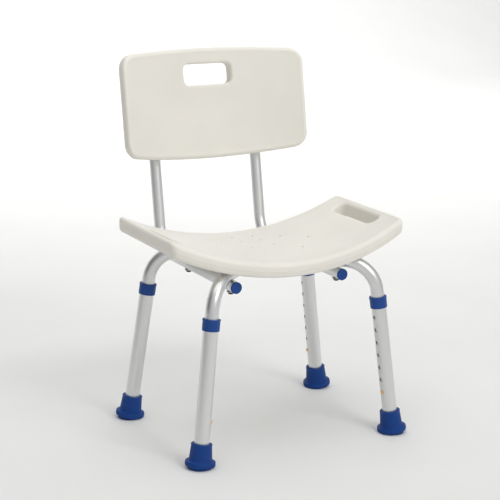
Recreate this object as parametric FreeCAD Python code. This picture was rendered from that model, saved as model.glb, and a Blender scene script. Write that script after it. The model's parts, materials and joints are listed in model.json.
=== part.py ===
"""Height-adjustable shower stool with a curved back panel.

Millimetres. +Z is up and the floor is Z = 0. The sitter faces -Y, so X runs across the
seat. X = 0 is the plane of symmetry, and Y = 0 is the middle of the whole stool's depth.
Two crossed tubes under the seat form the four legs. Two L-shaped tubes run under them
and rise behind the seat to carry the back panel.
"""
import FreeCAD, Part
import math
import os

Vector = FreeCAD.Vector
UP = Vector(0, 0, 1)
REARWARD = Vector(0, 1, 0)

# Cutting tools reach past what they cut: through one wall, through a whole tube, and from
# below the seat to above it. Bent plates are made larger by a margin before their outline.
WALL_REACH = 20.0
BELOW_SEAT_Z = 300.0
ABOVE_SEAT_Z = 460.0
BAND_MARGIN = 30.0

# Legs: each is a straight axis from the floor to the corner of its cross tube. FRONT and
# REAR tell the ends apart, and a foot's distances are from the middle of the four corners.
FRONT = -1
REAR = 1
LEG_CENTRE_Y = -55.0
FOOT_HALF_X = {FRONT: 211.5, REAR: 219.0}
FOOT_REACH_Y = {FRONT: 159.0, REAR: 143.5}
CORNER_HALF_X = 172.0
CORNER_HALF_Y = 133.5
CROSS_TUBE_Z = 343.0
CORNERS = {
    "front_left": (-1, FRONT),
    "front_right": (1, FRONT),
    "rear_left": (-1, REAR),
    "rear_right": (1, REAR),
}

# Cross tubes, and where they are pressed flat to pass each other.
TUBE_RADIUS = 12.7
TUBE_WALL = 1.2
CROSS_BEND_RADIUS = 66.0
FLAT_HALF_LENGTH = 20.0
FLAT_TAPER = 24.0
FLAT_HALF_WIDTH = 16.5
FLAT_GAP = 0.1
INNER_END_S = 58.0

# Outer leg tubes. S is the distance from the floor along the leg's axis.
OUTER_RADIUS = 14.3
OUTER_BORE = 13.05
OUTER_BOTTOM_S = 9.0
OUTER_TOP_S = 270.0
HOLE_S = 86.0
HOLE_PITCH = 25.4
HOLE_COUNT = 7
HOLE_RADIUS = 3.7
HOLE_TURN = 11.0

# Collars on the tops of the outer tubes.
COLLAR_RADIUS = 16.5
COLLAR_LIP_RADIUS = 17.1
COLLAR_BOTTOM_S = 256.0
COLLAR_TOP_S = 278.0
COLLAR_LIP = 3.0

# Feet.
FOOT_SOLE_RADIUS = 23.0
FOOT_SOLE_S = 2.6
FOOT_FLANGE_RADIUS = 28.5
FOOT_FLANGE_LOW_S = 5.0
FOOT_FLANGE_HIGH_S = 11.0
FOOT_FLANGE_TOP_S = 13.6
FOOT_WAIST_RADIUS = 21.4
FOOT_WAIST_S = 16.4
FOOT_RIM_RADIUS = 19.4
FOOT_TOP_S = 45.0
FOOT_RIM_ROUND = 1.4
FOOT_BELOW_FLOOR = 12.0
WASHER_THICKNESS = 1.6
WASHER_BORE = 5.0

# Snap buttons and their leaf springs. N is the distance outward from the leg's axis.
BUTTON_RADIUS = 3.5
BUTTON_TIP_N = 17.0
BUTTON_DOME = 1.4
BUTTON_BASE_RADIUS = 4.6
BUTTON_BASE_N = 9.2
BUTTON_BASE_TOP_N = 10.4
LEAF_THICKNESS = 0.6
LEAF_WIDTH = 8.0
LEAF_FAR_N = -10.5
LEAF_ARM_LOW = -6.0
LEAF_ARM_HIGH = 24.0

# Back tubes: a rail under the cross tubes, then an upright that leans back.
BACK_TUBE_RADIUS = 11.1
BACK_TUBE_WALL = 1.2
BACK_TUBE_X = 115.0
TUBE_GAP = 0.1
RAIL_Z = CROSS_TUBE_Z - TUBE_RADIUS - BACK_TUBE_RADIUS - TUBE_GAP
RAIL_FRONT_Y = LEG_CENTRE_Y - 109.0
BACK_CORNER_Y = LEG_CENTRE_Y + 214.3
BACK_RAKE = math.degrees(math.atan(0.19))
BACK_BEND_RADIUS = 60.0
UPRIGHT_LENGTH = 385.0
CAP_RADIUS = 11.4
CAP_HEAD = 3.5
CAP_PLUG = 14.0

# Seat: a plate bent to an arc across its width.
SEAT_HALF_X = 250.0
SEAT_BOTTOM_Z = 335.8
SEAT_BOTTOM_RADIUS = 590.0
SEAT_THICKNESS = 27.0
SEAT_FRONT_Y = LEG_CENTRE_Y - 145.5
SEAT_FRONT_BULGE = 27.0
SEAT_REAR_Y = LEG_CENTRE_Y + 136.0
SEAT_REAR_BULGE = 3.7
SEAT_CORNER = 15.0
SEAT_TOP_ROUND = 9.0
SEAT_BOTTOM_ROUND = 7.0
PANEL_WALL = 3.2
PANEL_RIM_WALL = 8.2
SLOT_ROUND = 2.5
SEAT_SLOT_X = 218.0
SEAT_SLOT_Y = LEG_CENTRE_Y + 9.5
SEAT_SLOT_WIDTH = 30.0
SEAT_SLOT_LENGTH = 140.0
SEAT_SLOT_CORNER = 13.0
CHANNEL_RADIUS = 13.1
CHANNEL_WALL_RADIUS = 17.6
CHANNEL_OVERRUN = 60.0
POCKET_GAP = 0.5
DRAIN_RADIUS = 2.8
DRAIN_ROWS = {-47.5: (22.0, 62.0), -1.5: (24.0, 101.0), 47.5: (22.0, 66.0), 84.5: (23.0,)}

# Seat fasteners.
SCREW_RADIUS = 3.0
SCREW_HOLE_RADIUS = 3.3
SCREW_HEAD_RADIUS = 5.8
SCREW_HEAD = 4.0
SCREW_TOP_Z = 366.0
SCREW_WASHER_RADIUS = 8.0
SCREW_WASHER = 1.5
INSERT_RADIUS = 5.0
INSERT_BOTTOM_Z = 356.8
INSERT_TOP_Z = 367.0
POST_WALL = 2.6
RIVET_RADIUS = 3.0
RIVET_HEAD_RADIUS = 6.5
RIVET_HEAD = 1.3
RIVET_POCKET_RADIUS = 7.5

# Back panel, drawn upright about the upright tubes' plane (Y = 0, Z = 0 at the rail bend's
# corner) and then leaned back with them.
BACK_HALF_X = 202.4
BACK_MID_Y = -23.0
BACK_MID_RADIUS = 521.0
BACK_THICKNESS = 28.0
BACK_REACH = 110.0
BACK_BOTTOM_Z = 177.5
BACK_TOP_Z = 398.0
BACK_TOP_CROWN = 7.0
BACK_BOTTOM_CROWN = 20.0
BACK_CORNER = 30.0
BACK_EDGE_ROUND = 9.0
BACK_SLOT_Z = 348.0
BACK_SLOT_LENGTH = 110.0
BACK_SLOT_HEIGHT = 50.0
BACK_SLOT_CORNER = 13.0
SADDLE_HALF_WIDTH = 17.0
SADDLE_BOTTOM_Z = 200.0
SADDLE_TOP_Z = 392.0
SADDLE_ROOT_Y = -36.0
SADDLE_FACE_Y = -1.0
SADDLE_CORNER = 4.0
SADDLE_GROOVE_GAP = 0.05
SADDLE_TOP_GAP = 0.3
BACK_SCREW_Z = (235.0, 360.0)
BACK_SCREW_RADIUS = 2.5
BACK_SCREW_HOLE_RADIUS = 2.7
BACK_SCREW_HEAD_RADIUS = 5.0
BACK_SCREW_HEAD = 3.2
BACK_INSERT_RADIUS = 4.5
BACK_INSERT_NEAR_Y = -12.6
BACK_INSERT_FAR_Y = -26.0


def export(name, shape):
    """Write one node as a STEP file."""
    if shape.ShapeType == "Compound" and len(shape.Solids) == 1:
        shape = shape.Solids[0]
    if not shape.isValid():
        raise ValueError(name + " is not a valid solid")
    shape.exportStep("parts/" + name + ".step")
    box = shape.BoundBox
    extent = [round(value, 1) for value in (box.XMin, box.XMax, box.YMin, box.YMax, box.ZMin, box.ZMax)]
    print(name, len(shape.Solids), round(shape.Volume), extent)


def fused(shapes):
    """Join solids that touch or overlap into one."""
    result = shapes[0]
    for shape in shapes[1:]:
        result = result.fuse(shape)
    return result.removeSplitter()


def rod(start, end, radius):
    """A cylinder between two points."""
    return Part.makeCylinder(radius, (end - start).Length, start, end - start)


def block(low, high):
    """A box between two opposite corners."""
    size = high - low
    return Part.makeBox(size.x, size.y, size.z, low)


def swept_rod(points, bend_radius, radius):
    """A round bar along three points, with an arc at the middle one."""
    start, corner, end = points
    into = (corner - start).normalize()
    out = (end - corner).normalize()
    turn = into.getAngle(out)
    setback = bend_radius * math.tan(turn / 2)
    arc_start = corner - into * setback
    arc_end = corner + out * setback
    inward = (out - into).normalize()
    centre = corner + inward * (bend_radius / math.cos(turn / 2))
    arc_middle = centre - inward * bend_radius
    first = Part.LineSegment(start, arc_start).toShape()
    bend = Part.Arc(arc_start, arc_middle, arc_end).toShape()
    last = Part.LineSegment(arc_end, end).toShape()
    section = Part.Wire([Part.Circle(start, into, radius).toShape()])
    return Part.Wire([first, bend, last]).makePipeShell([section], True, False)


def revolved(outline, origin, axis):
    """Turn a closed outline of (radius, height) points about an axis through origin."""
    points = [Vector(radius, 0, height) for radius, height in outline]
    face = Part.Face(Part.makePolygon(points + [points[0]]))
    solid = face.revolve(Vector(0, 0, 0), UP, 360)
    solid.Placement = FreeCAD.Placement(origin, FreeCAD.Rotation(UP, axis))
    return solid


def prism(outline_edges, direction):
    """Extrude a closed outline."""
    return Part.Face(Part.Wire(outline_edges)).extrude(direction)


def foot_point(side, end):
    """Where a leg's axis meets the floor."""
    return Vector(side * FOOT_HALF_X[end], LEG_CENTRE_Y + end * FOOT_REACH_Y[end], 0)


def corner_point(side, end):
    """Where a leg's axis meets the level part of its cross tube."""
    return Vector(side * CORNER_HALF_X, LEG_CENTRE_Y + end * CORNER_HALF_Y, CROSS_TUBE_Z)


def leg_direction(side, end):
    """Unit vector up a leg."""
    return (corner_point(side, end) - foot_point(side, end)).normalize()


def leg_point(side, end, distance):
    """The point on a leg's axis at a distance from the floor."""
    return foot_point(side, end) + leg_direction(side, end) * distance


def button_direction(side, end):
    """Unit vector from a leg's axis out through its snap button, square to the leg."""
    turn = math.radians(HOLE_TURN)
    level = Vector(-side * math.cos(turn), end * math.sin(turn), 0)
    upward = leg_direction(side, end)
    return (level - upward * level.dot(upward)).normalize()


def flattened_middle(along, radius, squash, flat_z):
    """The middle of a cross tube: round, pressed to an oval bar, and round again."""
    centre = Vector(0, LEG_CENTRE_Y, 0)
    round_end = FLAT_HALF_LENGTH + FLAT_TAPER
    sideways = Vector(-along.y, along.x, 0)
    frame = FreeCAD.Rotation(sideways, UP, along, "ZXY")
    sections = []
    for distance in (-round_end, -FLAT_HALF_LENGTH, FLAT_HALF_LENGTH, round_end):
        if abs(distance) == FLAT_HALF_LENGTH:
            half_width = FLAT_HALF_WIDTH - (TUBE_RADIUS - radius)
            edge = Part.Ellipse(Vector(0, 0, 0), half_width, squash).toShape()
            height = flat_z
        else:
            edge = Part.Circle(Vector(0, 0, 0), UP, radius).toShape()
            height = CROSS_TUBE_Z
        wire = Part.Wire([edge])
        origin = centre + along * distance + UP * height
        wire.Placement = FreeCAD.Placement(origin, frame)
        sections.append(wire)
    return [Part.makeLoft(list(pair), True, True) for pair in zip(sections, sections[1:])]


def cross_bar(start_corner, radius, squash, flat_z):
    """A solid bar along a whole cross tube, from one leg's lower end to the other's."""
    side, end = start_corner
    along = (corner_point(-side, -end) - corner_point(side, end)).normalize()
    centre = Vector(0, LEG_CENTRE_Y, CROSS_TUBE_Z)
    pieces = flattened_middle(along, radius, squash, flat_z)
    for corner, outward in (((side, end), -along), ((-side, -end), along)):
        low = leg_point(*corner, INNER_END_S)
        flat_edge = centre + outward * (FLAT_HALF_LENGTH + FLAT_TAPER)
        pieces.append(swept_rod((low, corner_point(*corner), flat_edge), CROSS_BEND_RADIUS, radius))
    return fused(pieces)


def cross_tube(start_corner, flat_direction):
    """One bent tube that forms two opposite legs, with its button and screw holes."""
    squash = TUBE_RADIUS / 2 - FLAT_GAP / 2
    flat_z = CROSS_TUBE_Z + flat_direction * TUBE_RADIUS / 2
    outside = cross_bar(start_corner, TUBE_RADIUS, squash, flat_z)
    inside = cross_bar(start_corner, TUBE_RADIUS - TUBE_WALL, squash - TUBE_WALL, flat_z)
    tube = outside.cut(inside)
    side, end = start_corner
    for corner in ((side, end), (-side, -end)):
        hole_start = leg_point(*corner, HOLE_S)
        hole_end = hole_start + button_direction(*corner) * WALL_REACH
        tube = tube.cut(rod(hole_start, hole_end, HOLE_RADIUS))
        screw_x, screw_y = screw_place(*corner)
        tube = tube.cut(upright_hole(screw_x, screw_y, CROSS_TUBE_Z, SCREW_HOLE_RADIUS))
    return tube.cut(upright_hole(0, LEG_CENTRE_Y, CROSS_TUBE_Z, RIVET_RADIUS))


def upright_hole(x, y, z, radius):
    """The rod that cuts a vertical hole through a tube whose axis is at height z."""
    return rod(Vector(x, y, z - WALL_REACH), Vector(x, y, z + WALL_REACH), radius)


def screw_place(side, end):
    """X and Y where a cross tube passes over a rail."""
    return side * BACK_TUBE_X, LEG_CENTRE_Y + end * CORNER_HALF_Y * BACK_TUBE_X / CORNER_HALF_X


def leg_tube(side, end):
    """An outer leg tube with its row of adjustment holes."""
    bottom = leg_point(side, end, OUTER_BOTTOM_S)
    top = leg_point(side, end, OUTER_TOP_S)
    tube = rod(bottom, top, OUTER_RADIUS).cut(rod(bottom, top, OUTER_BORE))
    outward = button_direction(side, end)
    for index in range(HOLE_COUNT):
        start = leg_point(side, end, HOLE_S + index * HOLE_PITCH)
        tube = tube.cut(rod(start, start + outward * WALL_REACH, HOLE_RADIUS))
    return tube


def leg_collar(side, end):
    """A collar that covers the top of an outer tube and guides the inner one."""
    outline = [
        (OUTER_RADIUS, COLLAR_BOTTOM_S),
        (COLLAR_RADIUS, COLLAR_BOTTOM_S),
        (COLLAR_RADIUS, COLLAR_TOP_S - COLLAR_LIP - 0.6),
        (COLLAR_LIP_RADIUS, COLLAR_TOP_S - COLLAR_LIP),
        (COLLAR_LIP_RADIUS, COLLAR_TOP_S - 0.8),
        (COLLAR_LIP_RADIUS - 0.8, COLLAR_TOP_S),
        (OUTER_BORE, COLLAR_TOP_S),
        (OUTER_BORE, OUTER_TOP_S),
        (OUTER_RADIUS, OUTER_TOP_S),
    ]
    return revolved(outline, foot_point(side, end), leg_direction(side, end))


def foot(side, end):
    """A flared rubber foot, square to its leg, with a level sole."""
    washer_s = OUTER_BOTTOM_S - WASHER_THICKNESS
    outline = [
        (0, -FOOT_BELOW_FLOOR),
        (FOOT_SOLE_RADIUS, -FOOT_BELOW_FLOOR),
        (FOOT_SOLE_RADIUS, FOOT_SOLE_S),
        (FOOT_FLANGE_RADIUS - 2.2, FOOT_SOLE_S),
        (FOOT_FLANGE_RADIUS, FOOT_FLANGE_LOW_S),
        (FOOT_FLANGE_RADIUS, FOOT_FLANGE_HIGH_S),
        (FOOT_FLANGE_RADIUS - 2.2, FOOT_FLANGE_TOP_S),
        (FOOT_WAIST_RADIUS + 1.4, FOOT_FLANGE_TOP_S + 0.4),
        (FOOT_WAIST_RADIUS, FOOT_WAIST_S),
        (FOOT_RIM_RADIUS, FOOT_TOP_S - FOOT_RIM_ROUND),
        (FOOT_RIM_RADIUS - FOOT_RIM_ROUND, FOOT_TOP_S),
        (OUTER_RADIUS, FOOT_TOP_S),
        (OUTER_RADIUS, washer_s),
        (0, washer_s),
    ]
    solid = revolved(outline, foot_point(side, end), leg_direction(side, end))
    reach = 2 * FOOT_FLANGE_RADIUS
    middle = foot_point(side, end)
    below = block(middle - Vector(reach, reach, reach), middle + Vector(reach, reach, 0))
    return solid.cut(below)


def foot_washer(side, end):
    """A steel washer in the foot, under the tube's end."""
    low = leg_point(side, end, OUTER_BOTTOM_S - WASHER_THICKNESS)
    high = leg_point(side, end, OUTER_BOTTOM_S)
    return rod(low, high, OUTER_RADIUS).cut(rod(low, high, WASHER_BORE))


def snap_button(side, end):
    """A domed button with a base that stops it against the inside of the cross tube."""
    outline = [
        (0, BUTTON_BASE_N),
        (BUTTON_BASE_RADIUS, BUTTON_BASE_N),
        (BUTTON_BASE_RADIUS, BUTTON_BASE_TOP_N),
        (BUTTON_RADIUS, BUTTON_BASE_TOP_N),
        (BUTTON_RADIUS, BUTTON_TIP_N - BUTTON_DOME),
        (BUTTON_RADIUS - 0.6, BUTTON_TIP_N - 0.55),
        (BUTTON_RADIUS - 1.7, BUTTON_TIP_N - 0.1),
        (0, BUTTON_TIP_N),
    ]
    return revolved(outline, leg_point(side, end, HOLE_S), button_direction(side, end))


def button_spring(side, end):
    """A leaf bent into a U: one arm under the button, the other on the far wall."""
    near_n = BUTTON_BASE_N - LEAF_THICKNESS
    outer_bend = (BUTTON_BASE_N - LEAF_FAR_N) / 2
    inner_bend = outer_bend - LEAF_THICKNESS
    bend_n = (BUTTON_BASE_N + LEAF_FAR_N) / 2
    half = LEAF_WIDTH / 2
    far_inner = LEAF_FAR_N + LEAF_THICKNESS
    near_low = Vector(BUTTON_BASE_N, -half, LEAF_ARM_LOW)
    near_high = Vector(BUTTON_BASE_N, -half, LEAF_ARM_HIGH)
    far_low = Vector(LEAF_FAR_N, -half, LEAF_ARM_LOW)
    far_high = Vector(LEAF_FAR_N, -half, LEAF_ARM_HIGH)
    far_inner_low = Vector(far_inner, -half, LEAF_ARM_LOW)
    far_inner_high = Vector(far_inner, -half, LEAF_ARM_HIGH)
    near_inner_low = Vector(near_n, -half, LEAF_ARM_LOW)
    near_inner_high = Vector(near_n, -half, LEAF_ARM_HIGH)
    edges = [
        Part.LineSegment(near_low, near_high),
        Part.Arc(near_high, Vector(bend_n, -half, LEAF_ARM_HIGH + outer_bend), far_high),
        Part.LineSegment(far_high, far_low),
        Part.LineSegment(far_low, far_inner_low),
        Part.LineSegment(far_inner_low, far_inner_high),
        Part.Arc(far_inner_high, Vector(bend_n, -half, LEAF_ARM_HIGH + inner_bend), near_inner_high),
        Part.LineSegment(near_inner_high, near_inner_low),
        Part.LineSegment(near_inner_low, near_low),
    ]
    leaf = prism([edge.toShape() for edge in edges], Vector(0, LEAF_WIDTH, 0))
    upward = leg_direction(side, end)
    outward = button_direction(side, end)
    turn = FreeCAD.Rotation(outward, upward.cross(outward), upward, "ZXY")
    leaf.Placement = FreeCAD.Placement(leg_point(side, end, HOLE_S), turn)
    return leaf


def back_tube(side):
    """A rail under the cross tubes that bends up into an upright."""
    x = side * BACK_TUBE_X
    front = Vector(x, RAIL_FRONT_Y, RAIL_Z)
    corner = Vector(x, BACK_CORNER_Y, RAIL_Z)
    rake = math.radians(BACK_RAKE)
    top = corner + Vector(0, math.sin(rake), math.cos(rake)) * UPRIGHT_LENGTH
    outside = swept_rod((front, corner, top), BACK_BEND_RADIUS, BACK_TUBE_RADIUS)
    tube = outside.cut(swept_rod((front, corner, top), BACK_BEND_RADIUS, BACK_TUBE_RADIUS - BACK_TUBE_WALL))
    for end in (FRONT, REAR):
        screw_x, screw_y = screw_place(side, end)
        tube = tube.cut(upright_hole(screw_x, screw_y, RAIL_Z, SCREW_HOLE_RADIUS))
    for height in BACK_SCREW_Z:
        hole = rod(Vector(x, -WALL_REACH, height), Vector(x, WALL_REACH, height), BACK_SCREW_HOLE_RADIUS)
        tube = tube.cut(leaned(hole))
    return tube


def rail_cap(side):
    """A plug with a flat head in the front end of a rail."""
    bore = BACK_TUBE_RADIUS - BACK_TUBE_WALL
    outline = [
        (0, -CAP_HEAD),
        (CAP_RADIUS - 1.0, -CAP_HEAD),
        (CAP_RADIUS, -CAP_HEAD + 1.0),
        (CAP_RADIUS, 0),
        (bore, 0),
        (bore, CAP_PLUG),
        (bore - 2.0, CAP_PLUG),
        (bore - 2.0, 1.0),
        (0, 1.0),
    ]
    return revolved(outline, Vector(side * BACK_TUBE_X, RAIL_FRONT_Y, RAIL_Z), REARWARD)


def leaned(shape):
    """Place a shape drawn upright about the rail bends' corners on the raked uprights."""
    placed = shape.copy()
    placed.rotate(Vector(0, 0, 0), Vector(1, 0, 0), -BACK_RAKE)
    placed.translate(Vector(0, BACK_CORNER_Y, RAIL_Z))
    return placed


def arc_band(inner_radius, outer_radius, centre, half_width, downward, direction):
    """A plate bent to an arc: the band between two arcs about one centre, extruded.

    downward points from the centre to the middle of the band.
    """
    across = Vector(1, 0, 0)
    edges = []
    ends = []
    for radius in (inner_radius, outer_radius):
        drop = downward * math.sqrt(radius * radius - half_width * half_width)
        left = centre - across * half_width + drop
        right = centre + across * half_width + drop
        edges.append(Part.Arc(left, centre + downward * radius, right).toShape())
        ends.append((left, right))
    edges.insert(1, Part.LineSegment(ends[0][1], ends[1][1]).toShape())
    edges.append(Part.LineSegment(ends[1][0], ends[0][0]).toShape())
    return Part.Face(Part.Wire(Part.__sortEdges__(edges))).extrude(direction)


def rounded_along(shape, direction, radius):
    """Round the straight edges that run along a direction."""
    chosen = []
    for edge in shape.Edges:
        if isinstance(edge.Curve, Part.Line) and abs(edge.Curve.Direction.dot(direction)) > 0.999:
            chosen.append(edge)
    return shape.makeFillet(radius, chosen)


def seat_outline(inset):
    """The seat's plan as a tall block: nearly straight rear, bulged front, rounded corners."""
    half = SEAT_HALF_X - inset
    front = SEAT_FRONT_Y + inset
    rear = SEAT_REAR_Y - inset
    front_left = Vector(-half, front + SEAT_FRONT_BULGE, BELOW_SEAT_Z)
    front_right = Vector(half, front + SEAT_FRONT_BULGE, BELOW_SEAT_Z)
    rear_left = Vector(-half, rear - SEAT_REAR_BULGE, BELOW_SEAT_Z)
    rear_right = Vector(half, rear - SEAT_REAR_BULGE, BELOW_SEAT_Z)
    edges = [
        Part.Arc(front_left, Vector(0, front, BELOW_SEAT_Z), front_right).toShape(),
        Part.LineSegment(front_right, rear_right).toShape(),
        Part.Arc(rear_right, Vector(0, rear, BELOW_SEAT_Z), rear_left).toShape(),
        Part.LineSegment(rear_left, front_left).toShape(),
    ]
    outline = prism(edges, UP * (ABOVE_SEAT_Z - BELOW_SEAT_Z))
    return rounded_along(outline, UP, SEAT_CORNER - inset)


def seat_band(inset):
    """The bent plate before its outline is cut, thinner all round by an inset."""
    centre = Vector(0, SEAT_FRONT_Y - BAND_MARGIN, SEAT_BOTTOM_Z + SEAT_BOTTOM_RADIUS)
    inner = SEAT_BOTTOM_RADIUS - SEAT_THICKNESS + inset
    outer = SEAT_BOTTOM_RADIUS - inset
    depth = SEAT_REAR_Y - SEAT_FRONT_Y + 2 * BAND_MARGIN
    return arc_band(inner, outer, centre, SEAT_HALF_X + BAND_MARGIN, -UP, REARWARD * depth)


def edges_on_radius(shape, centre, radius, direction):
    """The edges of a bent plate that lie on one of its two large faces."""
    chosen = []
    for edge in shape.Edges:
        on_face = True
        for parameter in (0.02, 0.5, 0.98):
            first, last = edge.ParameterRange
            offset = edge.valueAt(first + (last - first) * parameter) - centre
            offset = offset - direction * offset.dot(direction)
            if abs(offset.Length - radius) > 0.05:
                on_face = False
        if on_face:
            chosen.append(edge)
    return chosen


def rounded_slot(low, high, direction, corner):
    """A box with its edges along one direction rounded."""
    return rounded_along(block(low, high), direction, corner)


def seat_slot(side, grow):
    """The block that cuts a seat handle slot, larger all round by grow."""
    half_x = SEAT_SLOT_WIDTH / 2 + grow
    half_y = SEAT_SLOT_LENGTH / 2 + grow
    middle = Vector(side * SEAT_SLOT_X, SEAT_SLOT_Y, 0)
    low = middle + Vector(-half_x, -half_y, BELOW_SEAT_Z)
    high = middle + Vector(half_x, half_y, ABOVE_SEAT_Z)
    return rounded_slot(low, high, UP, SEAT_SLOT_CORNER + grow)


def tube_channel(side, radius):
    """The space of a cross tube under the seat, open downward."""
    front_corner = corner_point(side, FRONT)
    rear_corner = corner_point(-side, REAR)
    along = (rear_corner - front_corner).normalize()
    sideways = Vector(-along.y, along.x, 0) * radius
    start = front_corner - along * CHANNEL_OVERRUN
    end = rear_corner + along * CHANNEL_OVERRUN
    bar = rod(start, end, radius)
    corners = [start - sideways, start + sideways, end + sideways, end - sideways]
    floor = Part.Face(Part.makePolygon(corners + [corners[0]]))
    return bar.fuse(floor.extrude(-UP * CHANNEL_OVERRUN))


def crossing_pocket(side, grow, top):
    """The space of a cross tube's flattened middle, open downward, larger by grow."""
    along = (corner_point(-side, REAR) - corner_point(side, FRONT)).normalize()
    sideways = Vector(-along.y, along.x, 0) * (FLAT_HALF_WIDTH + POCKET_GAP + grow)
    reach = along * (FLAT_HALF_LENGTH + FLAT_TAPER + grow)
    centre = Vector(0, LEG_CENTRE_Y, BELOW_SEAT_Z)
    corners = [centre - reach - sideways, centre + reach - sideways]
    corners += [centre + reach + sideways, centre - reach + sideways]
    floor = Part.Face(Part.makePolygon(corners + [corners[0]]))
    return floor.extrude(UP * (top - BELOW_SEAT_Z))


def drain_places():
    """The centres of the drain holes."""
    places = []
    for row, offsets in DRAIN_ROWS.items():
        for x in offsets:
            places.append((x, LEG_CENTRE_Y + row))
            places.append((-x, LEG_CENTRE_Y + row))
    return places


def seat_hole(x, y, radius):
    """The rod that cuts a vertical hole right through the seat."""
    return rod(Vector(x, y, BELOW_SEAT_Z), Vector(x, y, ABOVE_SEAT_Z), radius)


def seat_void():
    """The hollow inside the blow-moulded seat, with posts left at its holes."""
    void = seat_band(PANEL_WALL).common(seat_outline(PANEL_RIM_WALL))
    for side in (-1, 1):
        void = void.cut(tube_channel(side, CHANNEL_WALL_RADIUS))
        void = void.cut(crossing_pocket(side, PANEL_WALL, ABOVE_SEAT_Z))
        void = void.cut(seat_slot(side, PANEL_WALL))
        for end in (-1, 1):
            x, y = screw_place(side, end)
            void = void.cut(seat_hole(x, y, INSERT_RADIUS + POST_WALL))
    for x, y in drain_places():
        void = void.cut(seat_hole(x, y, DRAIN_RADIUS + POST_WALL))
    return void


def seat_panel():
    """The hollow seat with its slots, drain holes and the channels for the cross tubes."""
    centre = Vector(0, 0, SEAT_BOTTOM_Z + SEAT_BOTTOM_RADIUS)
    plate = seat_band(0).common(seat_outline(0))
    top_edges = edges_on_radius(plate, centre, SEAT_BOTTOM_RADIUS - SEAT_THICKNESS, REARWARD)
    plate = plate.makeFillet(SEAT_TOP_ROUND, top_edges)
    bottom_edges = edges_on_radius(plate, centre, SEAT_BOTTOM_RADIUS, REARWARD)
    plate = plate.makeFillet(SEAT_BOTTOM_ROUND, bottom_edges)
    for side in (-1, 1):
        plate = plate.cut(seat_slot(side, 0))
    slot_edges = []
    for radius in (SEAT_BOTTOM_RADIUS - SEAT_THICKNESS, SEAT_BOTTOM_RADIUS):
        for edge in edges_on_radius(plate, centre, radius, REARWARD):
            box = edge.BoundBox
            near_slot = abs(abs(box.Center.x) - SEAT_SLOT_X) < SEAT_SLOT_WIDTH
            if near_slot and abs(box.Center.y - SEAT_SLOT_Y) + box.YLength / 2 < SEAT_SLOT_LENGTH / 2 + 1:
                slot_edges.append(edge)
    plate = plate.makeFillet(SLOT_ROUND, slot_edges)
    for side in (-1, 1):
        plate = plate.cut(tube_channel(side, CHANNEL_RADIUS))
        plate = plate.cut(crossing_pocket(side, 0, CROSS_TUBE_Z + TUBE_RADIUS + POCKET_GAP))
        for end in (-1, 1):
            x, y = screw_place(side, end)
            low = Vector(x, y, BELOW_SEAT_Z)
            plate = plate.cut(rod(low, Vector(x, y, INSERT_TOP_Z), INSERT_RADIUS))
    pocket_low = Vector(0, LEG_CENTRE_Y, BELOW_SEAT_Z)
    pocket_high = Vector(0, LEG_CENTRE_Y, CROSS_TUBE_Z + TUBE_RADIUS + RIVET_HEAD + 0.4)
    plate = plate.cut(rod(pocket_low, pocket_high, RIVET_POCKET_RADIUS))
    for x, y in drain_places():
        plate = plate.cut(seat_hole(x, y, DRAIN_RADIUS))
    return plate.cut(seat_void())


def seat_screws():
    """Four screws with round heads under the rails."""
    head_top = RAIL_Z - BACK_TUBE_RADIUS - SCREW_WASHER - 0.05
    screws = []
    for side in (-1, 1):
        for end in (-1, 1):
            x, y = screw_place(side, end)
            outline = [
                (0, -SCREW_HEAD),
                (SCREW_HEAD_RADIUS - 2.2, -SCREW_HEAD),
                (SCREW_HEAD_RADIUS - 0.6, -SCREW_HEAD + 1.2),
                (SCREW_HEAD_RADIUS, -SCREW_HEAD + 2.6),
                (SCREW_HEAD_RADIUS, 0),
                (SCREW_RADIUS, 0),
                (SCREW_RADIUS, SCREW_TOP_Z - head_top),
                (0, SCREW_TOP_Z - head_top),
            ]
            screws.append(revolved(outline, Vector(x, y, head_top), UP))
    return Part.makeCompound(screws)


def seat_screw_washers():
    """Washers between the screw heads and the rails."""
    top = RAIL_Z - BACK_TUBE_RADIUS - 0.05
    washers = []
    for side in (-1, 1):
        for end in (-1, 1):
            x, y = screw_place(side, end)
            low = Vector(x, y, top - SCREW_WASHER)
            high = Vector(x, y, top)
            washers.append(rod(low, high, SCREW_WASHER_RADIUS).cut(rod(low, high, SCREW_RADIUS)))
    return Part.makeCompound(washers)


def seat_inserts():
    """Threaded inserts moulded into the seat."""
    inserts = []
    for side in (-1, 1):
        for end in (-1, 1):
            x, y = screw_place(side, end)
            low = Vector(x, y, INSERT_BOTTOM_Z)
            body = rod(low, Vector(x, y, INSERT_TOP_Z), INSERT_RADIUS)
            inserts.append(body.cut(rod(low, Vector(x, y, SCREW_TOP_Z), SCREW_RADIUS)))
    return Part.makeCompound(inserts)


def cross_rivet():
    """The rivet through both flattened tubes."""
    half = TUBE_RADIUS
    outline = [
        (0, -half - RIVET_HEAD),
        (RIVET_HEAD_RADIUS - 1.0, -half - RIVET_HEAD),
        (RIVET_HEAD_RADIUS, -half),
        (RIVET_RADIUS, -half),
        (RIVET_RADIUS, half),
        (RIVET_HEAD_RADIUS, half),
        (RIVET_HEAD_RADIUS - 1.0, half + RIVET_HEAD),
        (0, half + RIVET_HEAD),
    ]
    return revolved(outline, Vector(0, LEG_CENTRE_Y, CROSS_TUBE_Z), UP)


def back_centre(z):
    """The point that the back panel is curved about, at a height."""
    return Vector(0, BACK_MID_Y - BACK_MID_RADIUS, z)


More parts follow.
